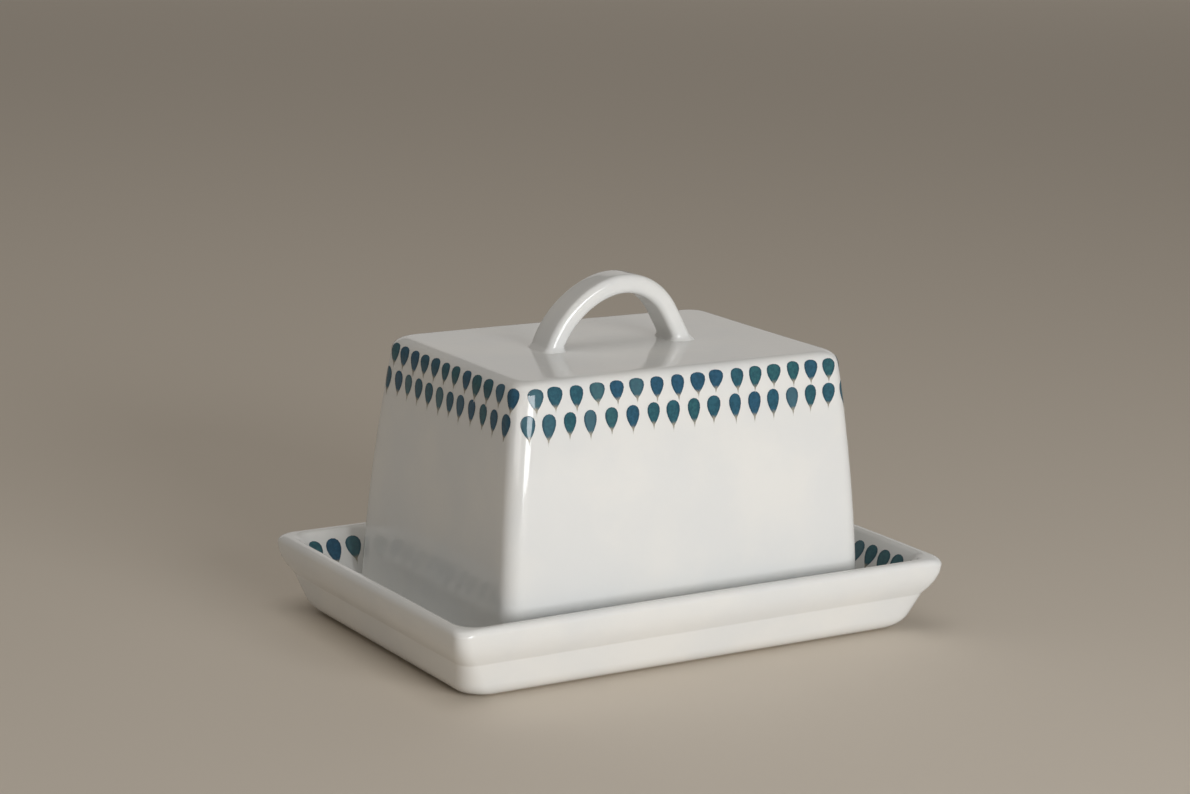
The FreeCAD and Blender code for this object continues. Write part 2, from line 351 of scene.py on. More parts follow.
def wall_points(low, high, count, inwards, corner):
    """Points up one surface of the cover's wall, as (inset from the top line, height, corner)."""
    heights = [low + (high - low) * step / count for step in range(count + 1)]
    return [(inwards - swell(height), height, corner) for height in heights]


def cover_outline():
    """From the cover's ceiling down the inside, round the lip, and up the outside to the top."""
    ceiling = COVER_TOP - COVER_ROOF
    inner = wall_points(LIP, ceiling, 8, COVER_WALL, INSIDE_CORNER)
    outer = wall_points(LIP, COVER_TOP, 8, 0.0, COVER_CORNER)
    outline = [(12 * MM, ceiling, 3 * MM)]
    outline += [inner[-1] + (CEILING_ROUND,)] + inner[-2:0:-1] + [inner[0] + (LIP_EDGE_ROUND,)]
    outline += [outer[0] + (LIP_EDGE_ROUND,)] + outer[1:-1] + [outer[-1] + (TOP_EDGE_ROUND,)]
    outline += [(9 * MM, COVER_TOP, INSIDE_CORNER)]
    return rounded_outline(outline)


def make_cover():
    """The cover, as rings from the middle of its ceiling, round the lip, to its top's middle."""
    points = cover_outline()
    wall = [ring(TOP_HALF_X - p.x, TOP_HALF_Y - p.x, p.z, p.y) for p in points]
    first, last = points[0], points[-1]
    ceiling = shrinking(
        TOP_HALF_X - first.x, TOP_HALF_Y - first.x, first.z, first.y, TOWARDS_MIDDLE[::-1]
    )
    roof = shrinking(TOP_HALF_X - last.x, TOP_HALF_Y - last.x, last.z, last.y, TOWARDS_MIDDLE)
    piece = skin("cover_glazed", ceiling + wall + roof)
    uneven(piece, seed=5, amount=0.34 * MM, wave=0.06, still_below=LIP + 2 * MM)
    return piece


cover = make_cover()
print("cover faces:", len(cover.data.polygons))

# %% [markdown]
# ## The strap handle
# The handle was a flat strap with soft edges, bent over and pressed down so that its feet spread.
# A section swept along a curve would miss those feet, so the strap is drawn ring by ring: the path
# is walked in short steps that turn through two bends, and near the cover each ring lies level and
# grows outwards along a quarter circle, which melts the strap into the top.

# %% Strap handle mesh
STRAP_HALF_THICK = 2.8 * MM
STRAP_HALF_WIDE = 5.7 * MM
STRAP_CORNER = 2.0 * MM
LEFT_FOOT_X = -23.85 * MM
FOOT_FILLET = 1.9 * MM
SINK = 0.35 * MM
SINK_BELOW = 0.5 * MM
LEVEL_BELOW = 3 * MM
LEVEL_FADE = 4 * MM
RING_GAP = 0.4 * MM
# Each stretch of the walk is (length, turn in degrees, clockwise).
STRAP_WALK = ((28 * math.radians(57.6) * MM, 57.6), (18.3 * math.radians(73.9) * MM, 73.9))
LEFT_LEAN = math.radians(71)
WALK_STEPS = 30
EDGE_STEPS = 6


def strap_outline():
    """The flat section as (u through the strap, v across it, outward direction) in order."""
    points = []
    for turn, (side_u, side_v) in enumerate(CORNERS):
        for step in range(EDGE_STEPS + 1):
            angle = (turn - 1 + step / EDGE_STEPS) * math.pi / 2
            u = side_u * (STRAP_HALF_THICK - STRAP_CORNER) + STRAP_CORNER * math.cos(angle)
            v = side_v * (STRAP_HALF_WIDE - STRAP_CORNER) + STRAP_CORNER * math.sin(angle)
            points.append((u, v, angle))
        if turn % 2 == 0:
            # The wide faces get a few points of their own, so that they can be uneven.
            for share in (0.25, 0.5, 0.75):
                points.append((u, v * (1 - 2 * share), angle))
    return points


def strap_centre_line():
    """Points and headings of the strap's centre line, from foot to foot, in the XZ plane."""
    place = Vector((LEFT_FOOT_X, COVER_TOP))
    heading = LEFT_LEAN
    line = [(place.copy(), heading)]
    for length, turn in STRAP_WALK:
        for _ in range(WALK_STEPS):
            step = math.radians(turn) / WALK_STEPS
            heading -= step / 2
            place += Vector((math.cos(heading), math.sin(heading))) * length / WALK_STEPS
            heading -= step / 2
            line.append((place.copy(), heading))
    drop = (place.y - COVER_TOP) / -math.sin(heading)
    for step in range(1, 9):
        end = place + Vector((math.cos(heading), math.sin(heading))) * drop * step / 8
        line.append((end, heading))
    return line


def foot_rings(foot, heading):
    """Heights and centres of the dense rings where a leg meets the cover."""
    steps = 9
    for step in range(steps + 1):
        height = FOOT_FILLET * (1 - math.cos(math.pi / 2 * step / steps))
        slide = height / math.tan(heading)
        yield Vector((foot.x + slide, COVER_TOP + height))


def strap_ring(centre, heading):
    """One ring of the strap. Near the cover it lies level and spreads."""
    height = centre.y - COVER_TOP
    level = 1 - min(max((height - LEVEL_BELOW) / LEVEL_FADE, 0.0), 1.0)
    level = level * level * (3 - 2 * level)
    across = Vector((math.sin(heading), -math.cos(heading)))
    flat = Vector((1 / math.sin(heading), 0)) if abs(math.sin(heading)) > 0.3 else across
    across = across.lerp(flat, level)
    rise = min(max(height, 0.0), FOOT_FILLET)
    spread = FOOT_FILLET - math.sqrt(FOOT_FILLET**2 - (FOOT_FILLET - rise) ** 2)
    sunk = SINK * max(0.0, 1 - rise / SINK_BELOW)
    inner_side = math.copysign(1, across.x)
    points = []
    for u, v, outward in strap_outline():
        x = centre.x + across.x * u + spread * math.cos(outward) * inner_side
        z = centre.y + across.y * u - sunk
        points.append(Vector((x, v + spread * math.sin(outward), z)))
    return points


def make_strap():
    """The strap handle, foot to foot."""
    line = strap_centre_line()
    left, right = line[0], line[-1]
    clear = COVER_TOP + FOOT_FILLET + RING_GAP
    rings = [strap_ring(centre, left[1]) for centre in foot_rings(left[0], left[1])]
    rings += [strap_ring(centre, heading) for centre, heading in line if centre.y > clear]
    ending = [strap_ring(centre, right[1]) for centre in foot_rings(right[0], right[1])]
    rings += ending[::-1]
    piece = skin("strap_handle", rings)
    uneven(piece, seed=8, amount=0.30 * MM, wave=0.018, still_below=COVER_TOP)
    return piece


strap = make_strap()
print("strap height, mm:", round(max(v.co.z for v in strap.data.vertices) / MM, 2))

# %% [markdown]
# ## Building node trees in a script
# Materials and Geometry Nodes are both graphs of nodes. Two helpers keep the graphs readable: one
# adds a node and feeds its inputs, from a value or from another node's output, and one does sums.

# %% Node helpers
def feed(tree, socket, source):
    """Gives an input a plain value, or a link when the source is another node's output."""
    if isinstance(source, bpy.types.NodeSocket):
        tree.links.new(source, socket)
    elif source is not None:
        socket.default_value = source


def add_node(tree, kind, inputs=None, **settings):
    """Adds a node, sets its properties, and feeds its enabled inputs by name or by number."""
    node = tree.nodes.new(kind)
    for name, value in settings.items():
        setattr(node, name, value)
    for key, source in (inputs or {}).items():
        if isinstance(key, int):
            feed(tree, node.inputs[key], source)
        else:
            feed(tree, next(i for i in node.inputs if i.name == key and i.enabled), source)
    return node


def out(node, name=None):
    """A node's first enabled output, or the one with a name."""
    return next(o for o in node.outputs if o.enabled and (name is None or o.name == name))


def sums(tree, operation, a, b=None, c=None):
    """A Math node's result."""
    inputs = {i: v for i, v in enumerate((a, b, c)) if v is not None}
    return out(add_node(tree, "ShaderNodeMath", inputs, operation=operation))


def blend_colours(tree, share, first, second):
    """A mix of two colours."""
    node = add_node(tree, "ShaderNodeMix", data_type="RGBA", clamp_factor=True)
    feed(tree, node.inputs[0], share)
    feed(tree, node.inputs[6], first)
    feed(tree, node.inputs[7], second)
    return node.outputs[2]


def fade(tree, value, start, end, low=0.0, high=1.0):
    """A smooth step: low before start, high after end."""
    node = add_node(
        tree,
        "ShaderNodeMapRange",
        {"Value": value, "From Min": start, "From Max": end, "To Min": low, "To Max": high},
        interpolation_type="SMOOTHSTEP",
    )
    return out(node)


def cloud(tree, where, scale, detail=2.0, roughness=0.5):
    """A noise value from 0 to 1, with `scale` waves to the metre."""
    node = add_node(
        tree,
        "ShaderNodeTexNoise",
        {"Vector": where, "Scale": scale, "Detail": detail, "Roughness": roughness},
    )
    return out(node)


# %% [markdown]
# ## White glaze
# A glossy stoneware glaze is glass over clay: a sharp reflection over a soft white. Three things
# keep it from looking like plastic. Its surface has a faint orange peel and longer waves, its white
# is mottled warm and cool, and it runs thin on the sharp edges, where the warmer clay shows.
# Where the ware stands in the kiln the glaze is wiped off, so below a height the matt clay is bare.

# %% Glaze material
GLAZE_WHITE = (0.80, 0.795, 0.77, 1)
GLAZE_COOL = (0.76, 0.765, 0.755, 1)
GLAZE_THIN = (0.78, 0.755, 0.70, 1)
BARE_CLAY = (0.58, 0.52, 0.43, 1)
CLAY_GRAIN = (0.42, 0.36, 0.28, 1)


def glaze_bumps(tree, where, strength=1.0):
    """The glaze's surface: long slow waves under a fine orange peel."""
    waves = cloud(tree, where, 28.0, detail=1.0)
    peel = cloud(tree, where, 420.0, detail=2.0)
    slow = add_node(
        tree,
        "ShaderNodeBump",
        {"Height": waves, "Strength": 0.30 * strength, "Distance": 0.0012},
    )
    fine = add_node(
        tree,
        "ShaderNodeBump",
        {"Height": peel, "Strength": 0.10 * strength, "Distance": 0.00012, "Normal": out(slow)},
    )
    return out(fine)


def glaze_material(name, bare_below=None):
    """White glaze, with bare clay below a height where one is given."""
    material = bpy.data.materials.new(name)
    material.use_nodes = True
    tree = material.node_tree
    tree.nodes.clear()
    where = out(add_node(tree, "ShaderNodeTexCoord"), "Object")
    mottle = fade(tree, cloud(tree, where, 35.0, detail=4.0), 0.35, 0.65)
    colour = blend_colours(tree, mottle, GLAZE_WHITE, GLAZE_COOL)
    edge = out(add_node(tree, "ShaderNodeNewGeometry"), "Pointiness")
    thin = fade(tree, edge, 0.53, 0.60, 0.0, 0.5)
    colour = blend_colours(tree, thin, colour, GLAZE_THIN)
    gloss = fade(tree, cloud(tree, where, 60.0, detail=3.0), 0.3, 0.7, 0.07, 0.12)
    if bare_below is not None:
        height = out(add_node(tree, "ShaderNodeSeparateXYZ", {"Vector": where}), "Z")
        wobble = sums(tree, "MULTIPLY", cloud(tree, where, 130.0), 0.0005)
        height = sums(tree, "SUBTRACT", height, wobble)
        bare = fade(tree, height, bare_below, bare_below - 0.0001)
        grain = fade(tree, cloud(tree, where, 1400.0, detail=3.0), 0.3, 0.7, 0.0, 0.35)
        clay = blend_colours(tree, grain, BARE_CLAY, CLAY_GRAIN)
        colour = blend_colours(tree, bare, colour, clay)
        matt = sums(tree, "MULTIPLY", bare, 0.75)
        gloss = sums(tree, "ADD", gloss, matt)
    shader = add_node(
        tree,
        "ShaderNodeBsdfPrincipled",
        {"Base Color": colour, "Roughness": gloss, "Normal": glaze_bumps(tree, where), "IOR": 1.52},
    )
    add_node(tree, "ShaderNodeOutputMaterial", {"Surface": out(shader)})
    return material


dish.data.materials.append(glaze_material("glaze_dish", bare_below=0.6 * MM))
cover.data.materials.append(glaze_material("glaze_cover", bare_below=LIP + 0.7 * MM))
strap.data.materials.append(glaze_material("glaze_strap"))
print("glaze nodes:", len(dish.data.materials[0].node_tree.nodes))

# %% [markdown]
# ## Brush paint
# Each drop is one dab of a loaded brush: full colour at the round head, paler and browner where
# the tail runs out, a little darker where the paint pooled along the edge. Every drop has its own
# tone between teal blue and teal green, and a few got less paint and are paler in the middle. So
# the colour reads three attributes that the drops carry: tone, along and across.

# %% Drop paint material
PAINT_BLUE = (0.030, 0.105, 0.180, 1)
PAINT_GREEN = (0.036, 0.135, 0.150, 1)
PAINT_DEEP = (0.016, 0.052, 0.085, 1)
PAINT_PALE = (0.120, 0.210, 0.255, 1)
PAINT_TAIL = (0.36, 0.325, 0.26, 1)


def carried(tree, name):
    """The value of an attribute that Geometry Nodes stored on the mesh."""
    return out(add_node(tree, "ShaderNodeAttribute", attribute_name=name), "Fac")


def paint_material():
    """Teal brush paint under clear glaze."""
    material = bpy.data.materials.new("drop_paint")
    material.use_nodes = True
    tree = material.node_tree
    tree.nodes.clear()
    where = out(add_node(tree, "ShaderNodeTexCoord"), "Object")
    tone, along, across = (carried(tree, n) for n in ("tone", "along", "across"))
    colour = blend_colours(tree, tone, PAINT_BLUE, PAINT_GREEN)
    load = fade(tree, cloud(tree, where, 900.0, detail=3.0), 0.35, 0.65, 0.0, 0.45)
    colour = blend_colours(tree, load, colour, PAINT_DEEP)
    pale = fade(tree, sums(tree, "FRACT", sums(tree, "MULTIPLY", tone, 7.0)), 0.6, 1.0, 0.0, 0.4)
    colour = blend_colours(tree, pale, colour, PAINT_PALE)
    rim = fade(tree, sums(tree, "ABSOLUTE", across), 0.55, 1.0, 0.0, 0.6)
    colour = blend_colours(tree, rim, colour, PAINT_DEEP)
    ragged = sums(tree, "MULTIPLY", cloud(tree, where, 1500.0), 0.16)
    reach = sums(tree, "ADD", along, ragged)
    colour = blend_colours(tree, fade(tree, reach, 0.72, 0.88, 0.0, 0.9), colour, PAINT_TAIL)
    colour = blend_colours(tree, fade(tree, reach, 0.88, 1.10), colour, GLAZE_WHITE)
    shader = add_node(
        tree,
        "ShaderNodeBsdfPrincipled",
        {"Base Color": colour, "Roughness": 0.08, "Normal": glaze_bumps(tree, where), "IOR": 1.52},
    )
    add_node(tree, "ShaderNodeOutputMaterial", {"Surface": out(shader)})
    return material


paint = paint_material()
print("paint nodes:", len(paint.node_tree.nodes))

# %% [markdown]
# ## Rows of painted drops
# A painter turns the ware on a wheel and sets one dab after another along a pencilled line. The
# same can be said with Geometry Nodes: points spaced along a line round the wall, one dab on each,
# a random nudge for the hand, and then every point of the dab is laid on the nearest wall. Placing
# two hundred dabs by hand would give the same picture, but no one could move the row again. First
# come the tree's inputs, which hold every size of a row, and three helpers for its nodes.

# %% Row inputs and small helpers
ROW_INPUTS = (
    ("Wall", "NodeSocketObject", None),
    ("Row Length", "NodeSocketFloat", 0.1),
    ("Row Width", "NodeSocketFloat", 0.1),
    ("Row Corner", "NodeSocketFloat", 0.005),
    ("Row Height", "NodeSocketFloat", 0.08),
    ("Dabs", "NodeSocketInt", 50),
    ("Start", "NodeSocketFloat", 0.0),
    ("Dab Width", "NodeSocketFloat", 0.005),
    ("Dab Length", "NodeSocketFloat", 0.009),
    ("Lean", "NodeSocketFloat", 0.0),
    ("Facing", "NodeSocketFloat", 1.0),
    ("Paint Height", "NodeSocketFloat", 0.0001),
    ("Unevenness", "NodeSocketFloat", 1.0),
    ("Seed", "NodeSocketInt", 1),
    ("Paint", "NodeSocketMaterial", None),
)


def vector_of(tree, x=0.0, y=0.0, z=0.0):
    """Three numbers as one vector."""
    return out(add_node(tree, "ShaderNodeCombineXYZ", {"X": x, "Y": y, "Z": z}))


def random_between(tree, low, high, seed, salt):
    """A random number for each point, with its own seed."""
    own = sums(tree, "ADD", seed, float(salt))
    return out(
        add_node(tree, "FunctionNodeRandomValue", {"Min": low, "Max": high, "Seed": own})
    )


def stored(tree, geometry, name, value, domain="POINT"):
    """Stores a number on the geometry, for the material to read."""
    node = add_node(
        tree,
        "GeometryNodeStoreNamedAttribute",
        {"Geometry": geometry, "Name": name, "Value": value},
        data_type="FLOAT",
        domain=domain,
    )
    return out(node)


def recalled(tree, name):
    """A number that was stored on the geometry."""
    node = add_node(tree, "GeometryNodeInputNamedAttribute", {"Name": name}, data_type="FLOAT")
    return out(node)


print("row inputs:", len(ROW_INPUTS))

# %% [markdown]
# ## One dab
# A loaded brush touches down with a round head and leaves a pointed body, then a hair of a tail as
# it lifts. The dab starts as a flat grid whose rows become the dab's widths: a body that closes at
# about five sixths of the length, and under it a thin tail. Paint has a thickness, so there is a
# front and a back layer, merged along the outline into one closed form of some sixty faces.

# %% Dab shape
FRONT_COLUMNS = 5
BACK_COLUMNS = 3
DAB_ROWS = 11
BODY_SHARE = 0.84
BODY_FULLNESS = 1.3
TAIL_FULLNESS = 0.42


def dab_half_width(tree, along, width):
    """Half the dab's width, where `along` runs from 0 at the head to 1 at the tail's tip."""
    reach = sums(tree, "MINIMUM", sums(tree, "DIVIDE", along, BODY_SHARE), 1.0)
    body = sums(tree, "MULTIPLY", sums(tree, "SQRT", reach), sums(tree, "SUBTRACT", 1.0, reach))
    body = sums(tree, "MULTIPLY", body, BODY_FULLNESS)
    tail = sums(tree, "MULTIPLY", sums(tree, "MULTIPLY", along, along), TAIL_FULLNESS)
    tail = sums(tree, "MULTIPLY", tail, sums(tree, "SUBTRACT", 1.0, along))
    return sums(tree, "MULTIPLY", sums(tree, "MAXIMUM", body, tail), width)


def dab_layer(tree, columns, side, width, length):
    """One layer of a dab. Its head is at the origin, and it hangs down to a fine tail."""
    grid = add_node(
        tree,
        "GeometryNodeMeshGrid",
        {"Size X": 1.0, "Size Y": 1.0, "Vertices X": columns, "Vertices Y": DAB_ROWS},
    )
    here = out(add_node(tree, "GeometryNodeInputPosition"))
    spot = add_node(tree, "ShaderNodeSeparateXYZ", {"Vector": here})
    across = sums(tree, "MULTIPLY", out(spot, "X"), 2.0)
    turn = sums(tree, "MULTIPLY", sums(tree, "SUBTRACT", 0.5, out(spot, "Y")), math.pi)
    along = sums(tree, "SUBTRACT", 0.5, sums(tree, "MULTIPLY", sums(tree, "COSINE", turn), 0.5))
    x = sums(tree, "MULTIPLY", across, dab_half_width(tree, along, width))
    z = sums(tree, "MULTIPLY", along, sums(tree, "MULTIPLY", length, -1.0))
    edge_x = sums(tree, "GREATER_THAN", sums(tree, "ABSOLUTE", across), 0.99)
    edge_y = sums(tree, "GREATER_THAN", sums(tree, "ABSOLUTE", out(spot, "Y")), 0.499)
    inside = sums(tree, "SUBTRACT", 1.0, sums(tree, "MAXIMUM", edge_x, edge_y))
    layer = stored(tree, out(grid, "Mesh"), "across", across)
    layer = stored(tree, layer, "along", along)
    layer = stored(tree, layer, "lift", sums(tree, "MULTIPLY", inside, side))
    if side < 0:
        layer = out(add_node(tree, "GeometryNodeFlipFaces", {"Mesh": layer}))
    shaped = add_node(
        tree,
        "GeometryNodeSetPosition",
        {"Geometry": layer, "Position": vector_of(tree, x, 0.0, z)},
    )
    return out(shaped)


def dab_mesh(tree, width, length):
    """A front and a back layer, closed along their shared outline."""
    both = tree.nodes.new("GeometryNodeJoinGeometry")
    tree.links.new(dab_layer(tree, BACK_COLUMNS, -1.0, width, length), both.inputs[0])
    tree.links.new(dab_layer(tree, FRONT_COLUMNS, 1.0, width, length), both.inputs[0])
    outline = sums(tree, "LESS_THAN", sums(tree, "ABSOLUTE", recalled(tree, "lift")), 0.5)
    merged = add_node(
        tree,
        "GeometryNodeMergeByDistance",
        {"Geometry": out(both), "Selection": outline, "Distance": 1e-6},
    )
    return out(merged)


front_faces = (FRONT_COLUMNS - 1) * (DAB_ROWS - 1)
back_faces = (BACK_COLUMNS - 1) * (DAB_ROWS - 1)
print("faces in a dab:", front_faces + back_faces)

# %% [markdown]
# ## Where the dabs go
# The heads stand on a line round the wall, a rectangle with round corners. The hand sets them a
# little wider apart on the two long walls than on the short ones, and never quite evenly: each dab
# slips along the line, bobs up or down, and tilts. All of that is a few sums on the point's number.

# %% Dab places and turns
LONG_WALL_STRETCH = 0.25
SLIP = 0.035
BOB = 0.2 * MM
TILT = 0.07
WIDTH_RANGE = (0.91, 1.07)
LENGTH_RANGE = (0.93, 1.08)


def heads_line(tree, given):
    """The line of the dabs' heads, at the height of the origin."""
    line = add_node(
        tree,
        "GeometryNodeCurvePrimitiveQuadrilateral",
        {"Width": given["Row Length"], "Height": given["Row Width"]},
    )
    rounded = add_node(
        tree,
        "GeometryNodeFilletCurve",
        {"Curve": out(line), "Count": 10, "Radius": given["Row Corner"]},
        mode="POLY",
    )
    return out(rounded)


def share_of_line(tree, given):
    """How far round the line each dab stands, from 0 to 1."""
    index = out(add_node(tree, "GeometryNodeInputIndex"))
    slip = random_between(tree, -SLIP, SLIP, given["Seed"], 11)
    slip = sums(tree, "MULTIPLY", slip, given["Unevenness"])
    place = sums(tree, "ADD", sums(tree, "ADD", index, given["Start"]), slip)
    # The line starts at the end of a long wall, so the wall's middle is half its length further on.
    around = sums(tree, "ADD", given["Row Length"], given["Row Width"])
    middle = sums(tree, "DIVIDE", given["Row Length"], sums(tree, "MULTIPLY", around, 4.0))
    past = sums(tree, "SUBTRACT", sums(tree, "DIVIDE", place, given["Dabs"]), middle)
    spread = sums(tree, "SINE", sums(tree, "MULTIPLY", past, 4 * math.pi))
    place = sums(tree, "MULTIPLY_ADD", spread, LONG_WALL_STRETCH, place)
    return sums(tree, "FRACT", sums(tree, "DIVIDE", place, given["Dabs"]))


def turned_along(tree, given, tangent):
    """Each dab turns to follow the line, leans with the wall, and tilts as the hand does."""
    facing = add_node(
        tree,
        "ShaderNodeVectorMath",
        {"Vector": tangent, "Scale": given["Facing"]},
        operation="SCALE",
    )
    turned = add_node(
        tree,
        "FunctionNodeAlignRotationToVector",
        {"Vector": out(facing)},
        axis="X",
        pivot_axis="Z",
    )
    tilt = random_between(tree, -TILT, TILT, given["Seed"], 37)
    tilt = sums(tree, "MULTIPLY", tilt, given["Unevenness"])
    rotation = out(turned)
    for turn in (vector_of(tree, given["Lean"], 0.0, 0.0), vector_of(tree, 0.0, tilt, 0.0)):
        step = add_node(
            tree,
            "FunctionNodeRotateRotation",
            {"Rotation": rotation, "Rotate By": turn},
            rotation_space="LOCAL",
        )
        rotation = out(step)
    return rotation


def dabs_in_place(tree, given):
    """Real dabs along the line, each with its own size and tone."""
    sample = add_node(
        tree,
        "GeometryNodeSampleCurve",
        {"Curves": heads_line(tree, given), "Factor": share_of_line(tree, given)},
        mode="FACTOR",
        use_all_curves=True,
    )
    bob = random_between(tree, -BOB, BOB, given["Seed"], 23)
    bob = sums(tree, "MULTIPLY", bob, given["Unevenness"])
    height = sums(tree, "ADD", given["Row Height"], bob)
    spot = add_node(
        tree,
        "ShaderNodeVectorMath",
        {0: out(sample, "Position"), 1: vector_of(tree, 0.0, 0.0, height)},
        operation="ADD",
    )
    points = add_node(
        tree, "GeometryNodePoints", {"Count": given["Dabs"], "Position": out(spot)}
    )
    wide = random_between(tree, *WIDTH_RANGE, given["Seed"], 41)
    tall = random_between(tree, *LENGTH_RANGE, given["Seed"], 53)
    set_out = add_node(
        tree,
        "GeometryNodeInstanceOnPoints",
        {
            "Points": out(points),
            "Instance": dab_mesh(tree, given["Dab Width"], given["Dab Length"]),
            "Rotation": turned_along(tree, given, out(sample, "Tangent")),
            "Scale": vector_of(tree, wide, 1.0, tall),
        },
    )
    tone = random_between(tree, 0.0, 1.0, given["Seed"], 67)
    toned = stored(tree, out(set_out), "tone", tone, "INSTANCE")
    return out(add_node(tree, "GeometryNodeRealizeInstances", {"Geometry": toned}))


print("most slip along the line, share of a step:", SLIP)

# %% [markdown]
# ## Laying the paint on the wall
# A flat dab would cut through a curved wall. So each point is moved to the nearest spot of the
# wall, then out along the wall's own direction: the outline a little, the middle a little more, and
# the back layer inwards, where the glaze hides it. The paint then follows corners and edges.

# %% Row tree
OUTLINE_LIFT = 0.6
MIDDLE_LIFT = 0.4
BACK_DEPTH = -1.2


def laid_on_wall(tree, given, dabs):
    """Every point goes to the wall's nearest surface, and the dab's front stands just proud."""
    wall = out(add_node(tree, "GeometryNodeObjectInfo", {"Object": given["Wall"]}), "Geometry")
    nearest = add_node(tree, "GeometryNodeProximity", {0: wall}, target_element="FACES")
    here = out(nearest, "Position")
    surface = add_node(
        tree,
        "GeometryNodeSampleNearestSurface",
        {"Mesh": wall, "Value": out(add_node(tree, "GeometryNodeInputNormal"))},
        data_type="FLOAT_VECTOR",
    )
    feed(tree, surface.inputs["Sample Position"], here)
    lift = recalled(tree, "lift")
    deep = sums(tree, "MULTIPLY", sums(tree, "LESS_THAN", lift, -0.5), BACK_DEPTH)
    proud = sums(tree, "MULTIPLY_ADD", lift, MIDDLE_LIFT, OUTLINE_LIFT)
    proud = sums(tree, "MULTIPLY", sums(tree, "ADD", proud, deep), given["Paint Height"])
    away = add_node(
        tree,
        "ShaderNodeVectorMath",
        {"Vector": out(surface), "Scale": proud},
        operation="SCALE",
    )
    laid = add_node(
        tree,
        "GeometryNodeSetPosition",
        {"Geometry": dabs, "Position": here, "Offset": out(away)},
    )
    return out(laid)


def crisp_outline(tree, dabs):
    """Smooth faces, with a hard edge where the front layer meets the back one."""
    smooth = add_node(tree, "GeometryNodeSetShadeSmooth", {"Geometry": dabs}, domain="FACE")
    outline = sums(tree, "LESS_THAN", sums(tree, "ABSOLUTE", recalled(tree, "lift")), 0.01)
    crisp = add_node(
        tree,
        "GeometryNodeSetShadeSmooth",
        {"Geometry": out(smooth), "Selection": outline, "Shade Smooth": False},
        domain="EDGE",
    )
    return out(crisp)


def drops_tree():
    """The node tree that paints one row of dabs round a wall."""
    tree = bpy.data.node_groups.new("row_of_drops", "GeometryNodeTree")
    tree.interface.new_socket(name="Geometry", in_out="INPUT", socket_type="NodeSocketGeometry")
    for name, kind, value in ROW_INPUTS:
        socket = tree.interface.new_socket(name=name, in_out="INPUT", socket_type=kind)
        if value is not None:
            socket.default_value = value
    tree.interface.new_socket(name="Geometry", in_out="OUTPUT", socket_type="NodeSocketGeometry")
    given = {o.name: o for o in tree.nodes.new("NodeGroupInput").outputs}
    dabs = laid_on_wall(tree, given, dabs_in_place(tree, given))
    painted = add_node(
        tree,
        "GeometryNodeSetMaterial",
        {"Geometry": crisp_outline(tree, dabs), "Material": given["Paint"]},
    )
    add_node(tree, "NodeGroupOutput", {"Geometry": out(painted)})
    return tree


row_tree = drops_tree()
print("row tree nodes:", len(row_tree.nodes))

# %% [markdown]
# ## Painting a row
# A modifier on an empty mesh runs the tree. Its inputs are set by each socket's identifier before
# anything is evaluated. The evaluated result is then copied to a plain mesh and the modifier goes,
# so that what rides on the CAD body is ordinary geometry.

# %% Painting helpers
def paint_row(wall, **sizes):
    """Runs the tree for one row round a wall, and returns the plain mesh."""
    helper = bpy.data.objects.new("row_helper", bpy.data.meshes.new("row_helper"))
    bpy.context.scene.collection.objects.link(helper)
    modifier = helper.modifiers.new("Row", "NODES")
    modifier.node_group = row_tree
    sockets = [i for i in row_tree.interface.items_tree if i.in_out == "INPUT"]
    identifiers = {i.name: i.identifier for i in sockets}
    modifier[identifiers["Wall"]] = wall
    modifier[identifiers["Paint"]] = paint
    for name, value in sizes.items():
        modifier[identifiers[name.replace("_", " ").title()]] = value
    graph = bpy.context.evaluated_depsgraph_get()
    graph.update()
    mesh = bpy.data.meshes.new_from_object(helper.evaluated_get(graph), depsgraph=graph)
    bpy.data.objects.remove(helper)
    return mesh


def one_piece(name, meshes):
    """Joins the rows of one body into one object."""
    joined = bmesh.new()
    for mesh in meshes:
        joined.from_mesh(mesh)
    print(name, "volume, cubic mm:", round(joined.calc_volume(signed=True) / MM**3, 2))
    data = meshes[0].copy()
    data.name = name
    joined.to_mesh(data)
    joined.free()
    piece = bpy.data.objects.new(name, data)
    bpy.context.scene.collection.objects.link(piece)
    print(name, "faces:", len(data.polygons))
    return piece


# %% [markdown]
# ## The cover's two rows
# The heads of the upper row sit just under the cover's top edge. The lower row hangs in the gaps
# of the upper one, and its dabs are a little narrower and longer.

# %% Cover rows
COVER_DABS = 57
COVER_LEAN = math.radians(-7)


def cover_row(drop_below_top, start, width, length, seed):
    """One row on the cover: the line lies on the wall where the heads are."""
    height = COVER_TOP - drop_below_top
    return paint_row(
        cover,
        row_length=2 * (TOP_HALF_X + swell(height)),
        row_width=2 * (TOP_HALF_Y + swell(height)),
        row_corner=COVER_CORNER,
        row_height=height,
        dabs=COVER_DABS,
        start=start,
        dab_width=width,
        dab_length=length,
        lean=COVER_LEAN,
        seed=seed,
    )


upper_row = cover_row(1.1 * MM, start=0.0, width=4.9 * MM, length=8.2 * MM, seed=4)
lower_row = cover_row(8.9 * MM, start=0.74, width=4.5 * MM, length=8.7 * MM, seed=9)
cover_drops = one_piece("cover_drops", [upper_row, lower_row])

# %% [markdown]
# ## The dish's row
# The dish has one row, on the slope inside its rim. The dabs face the middle of the dish, so the
# tree turns them round, and they lean back as far as the slope does.

